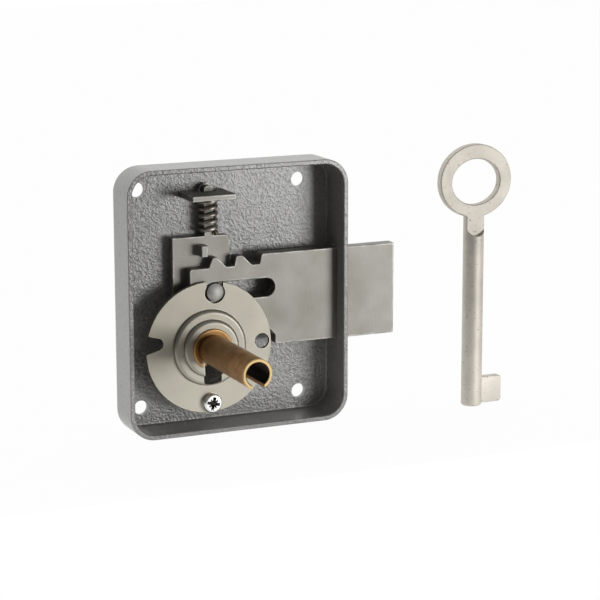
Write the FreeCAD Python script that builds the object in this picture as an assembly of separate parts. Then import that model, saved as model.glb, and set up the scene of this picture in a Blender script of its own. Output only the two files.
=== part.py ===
import FreeCAD, Part
import math
import os

# Cabinet lock for the inside of a door, with its separate key. All sizes are millimetres.
# X points the way the bolt is thrown, Y points from the open rim into the case, and Z is up.
# The origin is where the key's axis meets the plane of the case's rim.
# The model stands with the bolt thrown twice and the tumbler held up, as the key holds it.

Vector = FreeCAD.Vector

# Case, a drawn steel tray, and the room that it leaves round the works
sheet = 1.4
case_corner_r = 7.2
case_back_edge_r = 1.9
rim_edge_r = 0.3
key_to_front_edge = 41.0
room_behind_tail = 2.8
room_below_disc = 4.0
room_above_tongue = 4.85

# Holes for the four screws that hold the case to the door
screw_hole_r = 2.05
screw_inset_left = 7.05
screw_inset_right = 10.45
screw_inset_below = 6.55
screw_inset_above = 6.95

# Key
key_shank_r = 3.0
key_bit_reach = 9.2
key_bit_length = 7.8
key_bit_thick = 2.3
key_bit_corner_r = 0.9
key_bit_edge_r = 0.25
key_tip_beyond_bit = 0.4
key_tip_chamfer = 0.4
key_round_length = 50.3
key_neck = 5.3
key_bow_width = 22.8
key_bow_height = 21.2
key_bow_side = 3.75
key_bow_rim = 4.0
key_bow_eye_drop = 0.3
key_bow_thick = 2.5
key_bow_edge_r = 0.4
key_aside = 11.6
key_stand_y = -0.8

# Bolt
bolt_thick = 3.4
bolt_above_bit = 15.8
bolt_bottom = -1.3
bolt_left_out = 1.2
bolt_corner_r = 0.8
bolt_edge_r = 0.25
throw = 7.6
throws = 2
tail_length = 3.8
head_past_shank = 2.2
head_flank_run = 0.6
tooth_height = 2.85
tooth_flank_runs = (1.15, 0.45)
tooth_round = 0.9
talon_width = 2.6
talon_bite = 2.2
bar_past_talon = 1.1
lower_bar_step = 2.8
haunch_run = 0.4
haunch_height = 5.2

# Tumbler and its stump
tumbler_thick = 1.5
tumbler_left_of_stud = 10.95
tumbler_right_of_stud = 6.2
tumbler_above_stump = 2.2
tumbler_chamfer_x = 0.8
tumbler_chamfer_z = 1.6
tumbler_edge_r = 0.2
tongue_width = 2.9
tongue_above_shelf = 1.7
stump_left_of_stud = 3.55
stump_width = 1.8
stump_height = 3.15
stump_shoulder = 0.35
stump_tenon_margin = 0.5

# Guide stud
stud_x = 2.1
stud_below_bolt_top = 9.7
stud_r = 2.5
stud_collar = 1.5
stud_tenon_shoulder = 0.75
stud_dome = 0.7
stud_proud = 0.3

# Spring and its shelf
shelf_left_of_stud = 7.6
shelf_right_of_stud = 5.2
shelf_thick = 1.6
shelf_behind_rim = 0.3
shelf_tenon_shoulder = 2.9
shelf_edge_r = 0.2
lug_width = 4.9
lug_height = 1.9
lug_thick = 1.2
tongue_gap_x = 1.0
tongue_gap_y = 0.4
spring_length = 10.85
spring_wire = 1.05
spring_turns = 3.6
spring_end_bend = 1.4
spring_bend_deg = 32.0
spring_start_deg = 180.0
spring_inside_gap = 0.1
spring_floor_gap = 0.12

# Disc that carries the key tube
disc_thick = 1.0
disc_edge_r = 0.15
boss_step = 1.25
boss_ledge = 2.6
boss_round = 1.1
boss_past_keyway = 0.5
keyway_side_gap = 1.5
keyway_past_bit = 1.1
keyway_corner_r = 0.8
keyway_turn_deg = 2.8
fixing_past_boss = 5.0
disc_past_fixing = 2.8
fixing_turn_deg = 1.4
disc_notch_offset = 0.3
disc_notch_gap = 0.5
side_notch_inset = 3.3
side_notch_z = 2.2
side_notch_r = 1.75
side_notch_mouth = 5.5
spare_hole_r = 2.2

# Key tube and collar
key_gap = 0.25
tube_wall = 1.0
tube_shoulder = 0.2
tube_foot_relief = 0.35
tube_beyond_rim = 31.5
slit_side_gap = 0.6
tube_lip_over = 0.85
tube_lip = 0.6
tube_end_chamfer = 0.2
collar_over = 1.6
collar_mouth_gap = 2.3
collar_thick = 0.55
collar_round = 0.4
collar_behind_rim = 0.05

# Screw and post that hold the disc
thread_r = 1.5
screw_head_over = 1.3
screw_head_height = 1.75
screw_head_round = 0.8
screw_length = 6.4
recess_length = 3.8
recess_width = 0.9
recess_depth = 1.2
recess_tick_length = 3.0
recess_tick_width = 0.45
recess_tick_depth = 0.7
recess_turn_deg = 13.0
post_wall = 2.0
post_tenon_wall = 0.5

# Clearances
slide_gap = 0.3
plate_gap = 0.1
pivot_gap = 0.1
stump_gap = 0.25
notch_gap = 0.3
seat_gap = 0.05
end_gap = 0.6
past = 1.0

# Depths, from the rim's plane into the case
tube_bore_r = key_shank_r + key_gap
tube_r = tube_bore_r + tube_wall
tube_foot_r = tube_r - tube_shoulder
collar_r = tube_r + collar_over
boss_front = collar_behind_rim + collar_thick
disc_front = boss_front + 2 * boss_step
disc_back = disc_front + disc_thick
bolt_front = disc_back + slide_gap
bolt_back = bolt_front + bolt_thick
tumbler_front = bolt_back + plate_gap
tumbler_back = tumbler_front + tumbler_thick
tumbler_mid = (tumbler_front + tumbler_back) / 2
spring_inner_r = math.hypot(tongue_width / 2, tumbler_thick / 2) + spring_inside_gap
spring_mean_r = spring_inner_r + spring_wire / 2
floor_y = tumbler_mid + spring_inner_r + spring_wire + spring_floor_gap
case_depth = floor_y + sheet

# Heights
bolt_top = key_bit_reach + bolt_above_bit
notch_floor = bolt_top - tooth_height
tumbler_drop = tooth_height + stump_gap
stump_low = bolt_top + stump_gap
stump_top = stump_low + stump_height
tumbler_top = stump_top + tumbler_above_stump
shelf_bottom = tumbler_top + spring_length
shelf_top = shelf_bottom + shelf_thick
tongue_top = shelf_top + tongue_above_shelf
stud_z = bolt_top - stud_below_bolt_top
belly_z = key_bit_reach + seat_gap
talon_tip_z = key_bit_reach - talon_bite
talon_root_z = key_bit_reach + notch_gap

# Disc, and places across it
keyway_r = key_bit_reach + keyway_past_bit
boss_r = keyway_r + boss_past_keyway
boss_inner_r = boss_r - boss_ledge
fixing_circle_r = boss_r + fixing_past_boss
disc_r = fixing_circle_r + disc_past_fixing
tube_slit = key_bit_thick + 2 * slit_side_gap

# Places along the bolt's way
travel = throw * throws
bolt_tail_left = -talon_width / 2 - tail_length
lower_bar_left = travel + talon_width / 2 + bar_past_talon
bolt_head_left = key_shank_r + travel + head_past_shank
stump_left = stud_x - stump_left_of_stud
tumbler_left = stud_x - tumbler_left_of_stud
tumbler_right = stud_x + tumbler_right_of_stud
shelf_left = stud_x - shelf_left_of_stud
shelf_right = stud_x + shelf_right_of_stud
stud_slot_r = stud_r + pivot_gap

# Case outline and the places that follow from it
case_left = bolt_tail_left - travel - room_behind_tail - sheet
case_right = key_to_front_edge
case_bottom = -disc_r - room_below_disc - sheet
case_top = tongue_top + room_above_tongue + sheet
bolt_end = case_right + travel + bolt_left_out
screw_xs = (case_left + screw_inset_left, case_right - screw_inset_right)
screw_zs = (case_bottom + screw_inset_below, case_top - screw_inset_above)
key_stand_x = bolt_end + key_aside + key_bow_width / 2


def box(x0, x1, y0, y1, z0, z1):
    """A block between two corners."""
    return Part.makeBox(x1 - x0, y1 - y0, z1 - z0, Vector(x0, y0, z0))


def rod(x, z, r, y0, y1):
    """A round bar along Y."""
    return Part.makeCylinder(r, y1 - y0, Vector(x, y0, z), Vector(0, 1, 0))


def prism(outline, y0, y1):
    """A plate with this outline of (x, z) points between two depths."""
    points = [Vector(x, y0, z) for x, z in outline]
    face = Part.Face(Part.makePolygon(points + points[:1]))
    return face.extrude(Vector(0, y1 - y0, 0))


def slot_along_x(x0, x1, z, r, y0, y1):
    """A round-ended cutter whose ends reach x0 and x1."""
    middle = box(x0 + r, x1 - r, y0, y1, z - r, z + r)
    return middle.fuse([rod(x0 + r, z, r, y0, y1), rod(x1 - r, z, r, y0, y1)])


def slot_along_z(x, z0, z1, r, y0, y1):
    """A round-ended cutter whose ends reach z0 and z1."""
    middle = box(x - r, x + r, y0, y1, z0 + r, z1 - r)
    return middle.fuse([rod(x, z0 + r, r, y0, y1), rod(x, z1 - r, r, y0, y1)])


def along_y(edge):
    """Is the edge a straight line along Y?"""
    ends = edge.Vertexes
    if len(ends) != 2 or edge.Curve.TypeId != "Part::GeomLine":
        return False
    return abs(ends[0].X - ends[1].X) + abs(ends[0].Z - ends[1].Z) < 1e-6


def round_corners(shape, corners, r):
    """Round the plate's edges along Y that stand at these (x, z) corners."""
    chosen = []
    for edge in shape.Edges:
        if along_y(edge):
            here = edge.Vertexes[0]
            if any(math.hypot(here.X - x, here.Z - z) < 1e-4 for x, z in corners):
                chosen.append(edge)
    return shape.makeFillet(r, chosen)


def edges_at_depth(shape, y):
    """The edges that lie in the plane at depth y."""
    return [e for e in shape.Edges if abs(e.BoundBox.YMin - y) + abs(e.BoundBox.YMax - y) < 1e-5]


def rims_at(shape, x, z, r, y):
    """The round edges of radius r about (x, z) at depth y."""
    found = []
    for edge in edges_at_depth(shape, y):
        curve = edge.Curve
        if curve.TypeId == "Part::GeomCircle" and abs(curve.Radius - r) < 1e-5:
            if math.hypot(curve.Center.x - x, curve.Center.z - z) < 1e-5:
                found.append(edge)
    return found


def tray(inset, y0, y1, edge_r):
    """The case's outline, drawn in by inset, with its back edge rounded."""
    x0, x1 = case_left + inset, case_right - inset
    z0, z1 = case_bottom + inset, case_top - inset
    block = box(x0, x1, y0, y1, z0, z1)
    corners = [(x, z) for x in (x0, x1) for z in (z0, z1)]
    block = round_corners(block, corners, case_corner_r - inset)
    return block.makeFillet(edge_r, edges_at_depth(block, y1))


def on_fixing_circle(quarter_deg):
    """A place on the disc's fixing circle, from 3 o'clock and anticlockwise."""
    angle = math.radians(quarter_deg + fixing_turn_deg)
    return fixing_circle_r * math.cos(angle), fixing_circle_r * math.sin(angle)


def keyway(side_gap, y0, y1):
    """The cutter for an opening below the tube that leaves this gap beside the key's bit."""
    half = key_bit_thick / 2 + side_gap
    foot = -math.sqrt(keyway_r ** 2 - half ** 2)
    cutter = box(-half, half, y0, y1, -keyway_r, 0).common(rod(0, 0, keyway_r, y0, y1))
    cutter = round_corners(cutter, [(-half, foot), (half, foot)], keyway_corner_r)
    cutter.rotate(Vector(0, 0, 0), Vector(0, 1, 0), -keyway_turn_deg)
    return cutter


def notch_edges(number):
    """The left and right foot of a notch that the stump drops into."""
    shift = number * throw
    return stump_left - stump_gap + shift, stump_left + stump_width + stump_gap + shift


def make_case():
    """The drawn tray with its screw holes, bolt opening and riveting holes."""
    inner_edge_r = case_back_edge_r - sheet
    case = tray(0, 0, case_depth, case_back_edge_r)
    case = case.cut(tray(sheet, -past, floor_y, inner_edge_r))
    case = case.makeFillet(rim_edge_r, edges_at_depth(case, 0))
    out = case_depth + past
    inside = floor_y - past
    cutters = [rod(x, z, screw_hole_r, inside, out) for x in screw_xs for z in screw_zs]
    cutters.append(rod(0, 0, key_shank_r + 2 * pivot_gap, inside, out))
    cutters.append(rod(stud_x, stud_z, stud_r - stud_tenon_shoulder + seat_gap, inside, out))
    post_x, post_z = on_fixing_circle(-90)
    cutters.append(rod(post_x, post_z, thread_r + post_tenon_wall + seat_gap, inside, out))
    tenon_left = shelf_left + shelf_tenon_shoulder - seat_gap
    tenon_right = shelf_right - shelf_tenon_shoulder + seat_gap
    tenon_low, tenon_high = shelf_bottom - seat_gap, shelf_top + seat_gap
    cutters.append(box(tenon_left, tenon_right, inside, out, tenon_low, tenon_high))
    bolt_y0, bolt_y1 = bolt_front - plate_gap, bolt_back + plate_gap
    bolt_z0, bolt_z1 = bolt_bottom - slide_gap, bolt_top + slide_gap
    wall_x0, wall_x1 = case_right - sheet - past, case_right + past
    cutters.append(box(wall_x0, wall_x1, bolt_y0, bolt_y1, bolt_z0, bolt_z1))
    return case.cut(cutters)


def make_spring_bracket():
    """The flat shelf that the spring pushes against, with a stop lug and a riveted tenon."""
    shelf = box(shelf_left, shelf_right, shelf_behind_rim, floor_y, shelf_bottom, shelf_top)
    shelf = shelf.makeFillet(shelf_edge_r, edges_at_depth(shelf, shelf_behind_rim))
    tenon_left = shelf_left + shelf_tenon_shoulder
    tenon_right = shelf_right - shelf_tenon_shoulder
    tenon = box(tenon_left, tenon_right, floor_y, case_depth, shelf_bottom, shelf_top)
    half = tongue_width / 2 + tongue_gap_x
    y0, y1 = tumbler_front - tongue_gap_y, tumbler_back + tongue_gap_y
    slot = box(stud_x - half, stud_x + half, y0, y1, shelf_bottom - past, shelf_top + past)
    lug_r = lug_width / 2
    lug_top = shelf_top + lug_height
    lug = rod(stud_x, lug_top - lug_r, lug_r, y1, y1 + lug_thick)
    lug = lug.common(box(stud_x - lug_r, stud_x + lug_r, y1, y1 + lug_thick, shelf_bottom, lug_top))
    return shelf.fuse([tenon, lug]).removeSplitter().cut(slot)


def make_guide_stud():
    """The stud that guides the bolt and the tumbler, with a collar, a domed end and a tenon."""
    collar_y = tumbler_back + plate_gap
    tip_y = disc_front - stud_proud
    dome_y = tip_y + stud_dome
    ball_r = (stud_r ** 2 + stud_dome ** 2) / (2 * stud_dome)
    ball = Part.makeSphere(ball_r, Vector(stud_x, tip_y + ball_r, stud_z))
    dome = ball.common(rod(stud_x, stud_z, stud_r, tip_y - past, dome_y))
    shank = rod(stud_x, stud_z, stud_r, dome_y, collar_y)
    collar = rod(stud_x, stud_z, stud_r + stud_collar, collar_y, floor_y)
    tenon = rod(stud_x, stud_z, stud_r - stud_tenon_shoulder, floor_y, case_depth)
    return dome.fuse([shank, collar, tenon]).removeSplitter()


def make_screw_post():
    """The tapped post under the disc, riveted into the case."""
    x, z = on_fixing_circle(-90)
    post = rod(x, z, thread_r + post_wall, disc_back, floor_y)
    tenon = rod(x, z, thread_r + post_tenon_wall, floor_y, case_depth)
    thread = rod(x, z, thread_r, disc_back - past, disc_front + screw_length + end_gap)
    return post.fuse(tenon).removeSplitter().cut(thread)


def make_disc():
    """The pressed disc with its two-step boss, notches, spare hole and keyway."""
    first_y = disc_front - boss_step
    second_y = boss_front
    disc = rod(0, 0, disc_r, disc_front, disc_back)
    disc = disc.makeFillet(disc_edge_r, rims_at(disc, 0, 0, disc_r, disc_front))
    disc = disc.fuse([rod(0, 0, boss_r, first_y, disc_back), rod(0, 0, boss_inner_r, second_y, disc_back)])
    disc = disc.removeSplitter()
    rims = rims_at(disc, 0, 0, boss_r, first_y) + rims_at(disc, 0, 0, boss_inner_r, second_y)
    disc = disc.makeFillet(boss_round, rims)
    first_hollow = rod(0, 0, boss_r - disc_thick, first_y + disc_thick, disc_back + past)
    second_hollow = rod(0, 0, boss_inner_r - disc_thick, second_y + disc_thick, disc_back)
    before, behind = second_y - past, disc_back + past
    screw_x, screw_z = on_fixing_circle(-90)
    spare_x, spare_z = on_fixing_circle(0)
    notch_x = stud_x - disc_notch_offset
    mouth = box(notch_x - stud_r, notch_x + stud_r, before, behind, stud_z, disc_r + past)
    side_notch_x = side_notch_inset - disc_r
    flare = prism(
        [
            (side_notch_x, side_notch_z + side_notch_r),
            (-disc_r, side_notch_z + side_notch_mouth / 2),
            (-disc_r - past, side_notch_z + side_notch_mouth / 2),
            (-disc_r - past, side_notch_z - side_notch_mouth / 2),
            (-disc_r, side_notch_z - side_notch_mouth / 2),
            (side_notch_x, side_notch_z - side_notch_r),
        ],
        before,
        behind,
    )
    return disc.cut(
        [
            first_hollow,
            second_hollow,
            rod(0, 0, tube_foot_r + seat_gap, before, behind),
            keyway(keyway_side_gap, before, behind),
            rod(notch_x, stud_z, stud_r + disc_notch_gap, before, behind),
            mouth,
            rod(side_notch_x, side_notch_z, side_notch_r, before, behind),
            flare,
            rod(spare_x, spare_z, spare_hole_r, before, behind),
            rod(screw_x, screw_z, thread_r + pivot_gap, before, behind),
        ]
    )


def make_key_tube():
    """The slit brass tube that guides the key, with a turned-down foot and a lip behind the boss."""
    foot_y = collar_behind_rim - tube_foot_relief
    lip_y = boss_front + disc_thick
    lip_r = tube_r + tube_lip_over
    tube = rod(0, 0, tube_r, -tube_beyond_rim, foot_y)
    tube = tube.makeChamfer(tube_end_chamfer, rims_at(tube, 0, 0, tube_r, -tube_beyond_rim))
    foot = rod(0, 0, tube_foot_r, foot_y, lip_y)
    lip = rod(0, 0, lip_r, lip_y, lip_y + tube_lip)
    tube = tube.fuse([foot, lip]).removeSplitter()
    start, end = -tube_beyond_rim - past, lip_y + tube_lip + past
    bore = rod(0, 0, tube_bore_r, start, end)
    slit = box(-tube_slit / 2, tube_slit / 2, start, end, -lip_r - past, 0)
    slit.rotate(Vector(0, 0, 0), Vector(0, 1, 0), -keyway_turn_deg)
    return tube.cut([bore, slit])


def make_tube_collar():
    """The brass collar round the foot of the tube, open at the keyway."""
    front, back = collar_behind_rim, boss_front
    collar = rod(0, 0, collar_r, front, back)
    collar = collar.makeFillet(collar_round, rims_at(collar, 0, 0, collar_r, front))
    bore = rod(0, 0, tube_foot_r + seat_gap, front - past, back + past)
    return collar.cut([bore, keyway(collar_mouth_gap, front - past, back + past)])


def make_disc_screw():
    """The pan-head cross-recess screw that holds the disc to its post."""
    x, z = on_fixing_circle(-90)
    top = disc_front - screw_head_height
    head_r = thread_r + screw_head_over
    head = rod(x, z, head_r, top, disc_front)
    head = head.makeFillet(screw_head_round, rims_at(head, x, z, head_r, top))
    shank = rod(x, z, thread_r - seat_gap, disc_front, disc_front + screw_length)
    screw = head.fuse(shank).removeSplitter()
    cutters = []
    for turn, reach, width, depth in (
        (0, recess_length, recess_width, recess_depth),
        (90, recess_length, recess_width, recess_depth),
        (45, recess_tick_length, recess_tick_width, recess_tick_depth),
        (135, recess_tick_length, recess_tick_width, recess_tick_depth),
    ):
        x0, x1 = x - reach / 2, x + reach / 2
        arm = box(x0, x1, top - past, top + depth, z - width / 2, z + width / 2)
        arm.rotate(Vector(x, 0, z), Vector(0, 1, 0), turn + recess_turn_deg)
        cutters.append(arm)
    return screw.cut(cutters)


def make_bolt():
    """The bolt with its ratchet teeth above, guide slot, and talons below for the key."""
    outline = [(bolt_tail_left, talon_root_z), (bolt_tail_left, notch_floor)]
    tips = []
    for number, flank_run in enumerate(tooth_flank_runs):
        left_foot = notch_edges(number)[1]
        right_foot = notch_edges(number + 1)[0]
        tip_left = (left_foot + flank_run, bolt_top)
        tip_right = (right_foot - tooth_height, bolt_top)
        tips += [tip_left, tip_right]
        outline += [(left_foot, notch_floor), tip_left, tip_right, (right_foot, notch_floor)]
    head_foot = notch_edges(len(tooth_flank_runs))[1]
    head_top_left = (head_foot + head_flank_run, bolt_top)
    tips.append(head_top_left)
    lower_corner = (bolt_head_left, bolt_bottom)
    outline += [
        (head_foot, notch_floor),
        head_top_left,
        (bolt_end, bolt_top),
        (bolt_end, bolt_bottom),
        lower_corner,
        (bolt_head_left, bolt_bottom + lower_bar_step),
        (lower_bar_left + haunch_run, bolt_bottom + haunch_height),
        (lower_bar_left, talon_tip_z),
    ]
    for number in reversed(range(throws)):
        notch_right = number * throw + throw - talon_width / 2
        notch_left = notch_right - throw + talon_width
        outline += [(notch_right, talon_tip_z), (notch_right, talon_root_z)]
        outline += [(notch_left, talon_root_z), (notch_left, talon_tip_z)]
    outline += [(-talon_width / 2, talon_tip_z), (-talon_width / 2, talon_root_z)]
    bolt = prism(outline, bolt_front, bolt_back)
    bolt = round_corners(bolt, tips, tooth_round)
    bolt = round_corners(bolt, [lower_corner, (bolt_tail_left, notch_floor)], bolt_corner_r)
    slot_left = stud_x - stud_r - notch_gap
    slot_right = stud_x + stud_r + travel + end_gap
    y0, y1 = bolt_front - past, bolt_back + past
    bolt = bolt.cut(slot_along_x(slot_left, slot_right, stud_z, stud_slot_r, y0, y1))
    return bolt.makeFillet(bolt_edge_r, edges_at_depth(bolt, bolt_front))


def make_tumbler():
    """The sliding tumbler plate with its tongue, stud slot and the edge that the key lifts."""
    half_tongue = tongue_width / 2
    outline = [
        (tumbler_left, belly_z),
        (tumbler_left, tumbler_top),
        (stud_x - half_tongue, tumbler_top),
        (stud_x - half_tongue, tongue_top - half_tongue),
        (stud_x + half_tongue, tongue_top - half_tongue),
        (stud_x + half_tongue, tumbler_top),
        (tumbler_right - tumbler_chamfer_x, tumbler_top),
        (tumbler_right, tumbler_top - tumbler_chamfer_z),
        (tumbler_right, belly_z),
    ]
    plate = prism(outline, tumbler_front, tumbler_back)
    tongue_end = rod(stud_x, tongue_top - half_tongue, half_tongue, tumbler_front, tumbler_back)
    plate = plate.fuse(tongue_end).removeSplitter()
    plate = plate.makeFillet(tumbler_edge_r, edges_at_depth(plate, tumbler_front))
    low = stud_z - stud_r - notch_gap
    high = stud_z + stud_r + tumbler_drop + notch_gap
    y0, y1 = tumbler_front - past, tumbler_back + past
    stud_slot = slot_along_z(stud_x, low, high, stud_slot_r, y0, y1)
    return plate.cut([stud_slot, stump_tenon(seat_gap, y0, y1)])


def stump_tenon(gap, y0, y1):
    """The stump's riveted tenon, or the hole for it where gap is above 0."""
    left = stump_left + stump_shoulder - gap
    right = stump_left + stump_width - stump_shoulder + gap
    low = stump_low + stump_tenon_margin - gap
    high = stump_top - stump_tenon_margin + gap
    return box(left, right, y0, y1, low, high)


def make_tumbler_stump():
    """The stump on the tumbler that drops between the bolt's teeth."""
    right = stump_left + stump_width
    stump = box(stump_left, right, bolt_front, tumbler_front, stump_low, stump_top)
    stump = stump.makeFillet(tumbler_edge_r, edges_at_depth(stump, bolt_front))
    return stump.fuse(stump_tenon(0, tumbler_front, tumbler_back)).removeSplitter()


def helix_point(angle, start_angle, start_z):
    """A point of the spring's centre line and its unit tangent, at an angle in radians."""
    turns_rise = spring_length - 2 * (spring_wire + spring_end_bend)
    rise = turns_rise / (2 * math.pi * spring_turns)
    x = stud_x + spring_mean_r * math.cos(angle)
    y = tumbler_mid + spring_mean_r * math.sin(angle)
    z = start_z + rise * (angle - start_angle)
    tangent = Vector(-spring_mean_r * math.sin(angle), spring_mean_r * math.cos(angle), rise)
    return Vector(x, y, z), tangent.normalize()


def arc_between(start, corner, end):
    """The round arc from start to end that is tangent to both lines through corner."""
    chord_middle = (start + end) * 0.5
    to_corner = corner - chord_middle
    half_chord = (end - start).Length / 2
    radius = half_chord * math.hypot(half_chord, to_corner.Length) / to_corner.Length
    rise = radius - math.sqrt(radius ** 2 - half_chord ** 2)
    middle = chord_middle + to_corner.normalize() * rise
    return Part.Arc(start, middle, end), radius


def biarc(start, start_way, end, end_way):
    """Two arcs that leave start along start_way and reach end along end_way."""
    across = end - start
    ways = start_way + end_way
    bend = 2 * (1 - start_way.dot(end_way))
    reach = across.dot(ways)
    length = (math.sqrt(reach ** 2 + bend * across.dot(across)) - reach) / bend
    first = start + start_way * length
    second = end - end_way * length
    joint = (first + second) * 0.5
    return [arc_between(start, first, joint), arc_between(joint, second, end)]


def spring_path():
    """The spring's centre line: a straight end, a bend, the turns, a bend and a straight end."""
    up = Vector(0, 0, 1)
    bend = math.radians(spring_bend_deg)
    first_angle = math.radians(spring_start_deg)
    start_angle = first_angle + bend
    turn_angle = 2 * math.pi * spring_turns
    end_angle = start_angle + turn_angle
    start_z = tumbler_top + spring_wire + spring_end_bend
    foot = helix_point(first_angle, first_angle, tumbler_top)[0]
    head = helix_point(end_angle + bend, end_angle + bend, shelf_bottom)[0]
    foot_top = foot + up * spring_wire
    head_low = head - up * spring_wire
    joined = []
    quarters = math.ceil(4 * spring_turns)
    angles = [start_angle + turn_angle * step / quarters for step in range(quarters + 1)]
    places = [helix_point(angle, start_angle, start_z) for angle in angles]
    joined += biarc(foot_top, up, *places[0])
    for here, there in zip(places, places[1:]):
        joined += biarc(*here, *there)
    joined += biarc(*places[-1], head_low, up)
    arcs = [arc for arc, radius in joined]
    print("spring: tightest bend %.2f mm" % min(radius for arc, radius in joined))
    lines = [Part.LineSegment(foot, foot_top), Part.LineSegment(head_low, head)]
    return [lines[0]] + arcs + [lines[1]], foot


def least_gap(curves):
    """The smallest gap between the wire's surface and a part of it more than half a turn on."""
    points = []
    for curve in curves:
        edge = curve.toShape()
        points += edge.discretize(12)[:-1]
    run = [0.0]
    for here, there in zip(points, points[1:]):
        run.append(run[-1] + (there - here).Length)
    half_turn = math.pi * spring_mean_r
    gaps = []
    for i, here in enumerate(points):
        for j in range(i + 1, len(points)):
            if run[j] - run[i] > half_turn:
                gaps.append((points[j] - here).Length)
    return min(gaps) - spring_wire


def make_tumbler_spring():
    """The compression spring between the tumbler's shoulders and the shelf."""
    curves, foot = spring_path()
    print("spring: least gap to itself %.2f mm" % least_gap(curves))
    path = Part.Wire([curve.toShape() for curve in curves])
    ring = Part.Wire(Part.makeCircle(spring_wire / 2, foot, Vector(0, 0, 1)))
    spring = path.makePipeShell([ring], True, False)
    section = math.pi * spring_wire ** 2 / 4
    print("spring: volume %.2f, section times length %.2f" % (spring.Volume, section * path.Length))
    return spring


def oval(width, height, z, y0, y1):
    """An oval bar along Y about the key's shank, made of four arcs that meet at 45 degrees."""
    half_width, half_height = width / 2, height / 2
    shift = (half_width - half_height) / (2 - math.sqrt(2))
    reach = (half_width - shift) / math.sqrt(2)

    def place(across, up):
        return Vector(key_stand_x + across, y0, z + up)

    ends = [(shift + reach, -reach), (shift + reach, reach), (-shift - reach, reach), (-shift - reach, -reach)]
    middles = [(half_width, 0), (0, half_height), (-half_width, 0), (0, -half_height)]
    arcs = []
    for i, middle in enumerate(middles):
        arcs.append(Part.Arc(place(*ends[i]), place(*middle), place(*ends[(i + 1) % 4])).toShape())
    return Part.Face(Part.Wire(arcs)).extrude(Vector(0, y1 - y0, 0))


def make_key():
    """The key: oval bow, flattened neck, round shank and plain bit, standing on its tip."""
    x, y = key_stand_x, key_stand_y
    tip_z = case_bottom
    bow_low = tip_z + key_round_length + key_neck
    bow_z = bow_low + key_bow_height / 2
    bow_y0, bow_y1 = y - key_bow_thick / 2, y + key_bow_thick / 2
    shank_top = bow_low + key_bow_rim - key_bow_eye_drop - key_bow_edge_r
    shank = Part.makeCylinder(key_shank_r, shank_top - tip_z, Vector(x, y, tip_z))
    low_rim = [e for e in shank.Edges if abs(e.BoundBox.ZMax - tip_z) < 1e-5]
    shank = shank.makeChamfer(key_tip_chamfer, low_rim)
    neck_z = tip_z + key_round_length + key_shank_r
    for side in (-1, 1):
        y0, y1 = sorted((y + side * key_bow_thick / 2, y + side * (key_shank_r + past)))
        flat = rod(x, neck_z, key_shank_r, y0, y1)
        flat = flat.fuse(box(x - key_shank_r, x + key_shank_r, y0, y1, neck_z, shank_top + past))
        shank = shank.cut(flat)
    bow = oval(key_bow_width, key_bow_height, bow_z, bow_y0, bow_y1)
    hole_width = key_bow_width - 2 * key_bow_side
    hole_height = key_bow_height - 2 * key_bow_rim
    eye_z = bow_z - key_bow_eye_drop
    bow = bow.cut(oval(hole_width, hole_height, eye_z, bow_y0 - past, bow_y1 + past))
    bow = bow.makeFillet(key_bow_edge_r, edges_at_depth(bow, bow_y0) + edges_at_depth(bow, bow_y1))
    bit_low = tip_z + key_tip_beyond_bit
    bit_high = bit_low + key_bit_length
    half_bit = key_bit_thick / 2
    bit = box(x, x + key_bit_reach, y - half_bit, y + half_bit, bit_low, bit_high)
    corners = [(x + key_bit_reach, bit_low), (x + key_bit_reach, bit_high)]
    bit = round_corners(bit, corners, key_bit_corner_r)
    faces = edges_at_depth(bit, y - half_bit) + edges_at_depth(bit, y + half_bit)
    bit = bit.makeFillet(key_bit_edge_r, [e for e in faces if e.BoundBox.XMax > x + key_shank_r])
    return shank.fuse([bow, bit]).removeSplitter()


makers = {
    "case": make_case,
    "spring_bracket": make_spring_bracket,
    "guide_stud": make_guide_stud,
    "screw_post": make_screw_post,
    "key_guide_disc": make_disc,
    "key_tube": make_key_tube,
    "tube_collar": make_tube_collar,
    "disc_screw": make_disc_screw,
    "bolt": make_bolt,
    "tumbler": make_tumbler,
    "tumbler_stump": make_tumbler_stump,
    "tumbler_spring": make_tumbler_spring,
    "key": make_key,
}

os.makedirs("parts", exist_ok=True)
for node, make in makers.items():
    shape = make()
    if len(shape.Solids) != 1 or not shape.isValid():
        raise ValueError("%s should be one valid solid, and has %d" % (node, len(shape.Solids)))
    shape = shape.Solids[0]
    shape.exportStep("parts/%s.step" % node)
    limits = shape.BoundBox
    print("%-16s %8.1f mm3" % (node, shape.Volume), limits)
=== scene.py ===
"""Looks of a cabinet lock: enamelled case, steel works, nickel disc, brass tube and nickel key."""

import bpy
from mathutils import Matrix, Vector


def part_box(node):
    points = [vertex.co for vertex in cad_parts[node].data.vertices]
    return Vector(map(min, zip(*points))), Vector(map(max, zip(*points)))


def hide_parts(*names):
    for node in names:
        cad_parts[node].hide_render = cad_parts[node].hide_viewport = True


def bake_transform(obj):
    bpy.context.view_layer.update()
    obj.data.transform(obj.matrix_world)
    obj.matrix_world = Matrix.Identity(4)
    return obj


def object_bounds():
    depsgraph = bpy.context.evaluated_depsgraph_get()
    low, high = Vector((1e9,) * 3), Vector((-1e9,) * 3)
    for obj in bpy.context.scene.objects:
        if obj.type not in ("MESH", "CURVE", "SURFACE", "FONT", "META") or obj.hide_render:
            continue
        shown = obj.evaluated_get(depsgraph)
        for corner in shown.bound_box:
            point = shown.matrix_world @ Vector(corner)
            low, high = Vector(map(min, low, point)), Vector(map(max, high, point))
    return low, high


bl_info = {
    "name": "Cabinet Lock Looks",
    "version": (1, 0, 0),
    "blender": (4, 5, 0),
    "location": "3D View > Sidebar > Cabinet Lock",
    "description": "Finishes, spring and studio for a cabinet lock with its key",
    "category": "Object",
}

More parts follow.
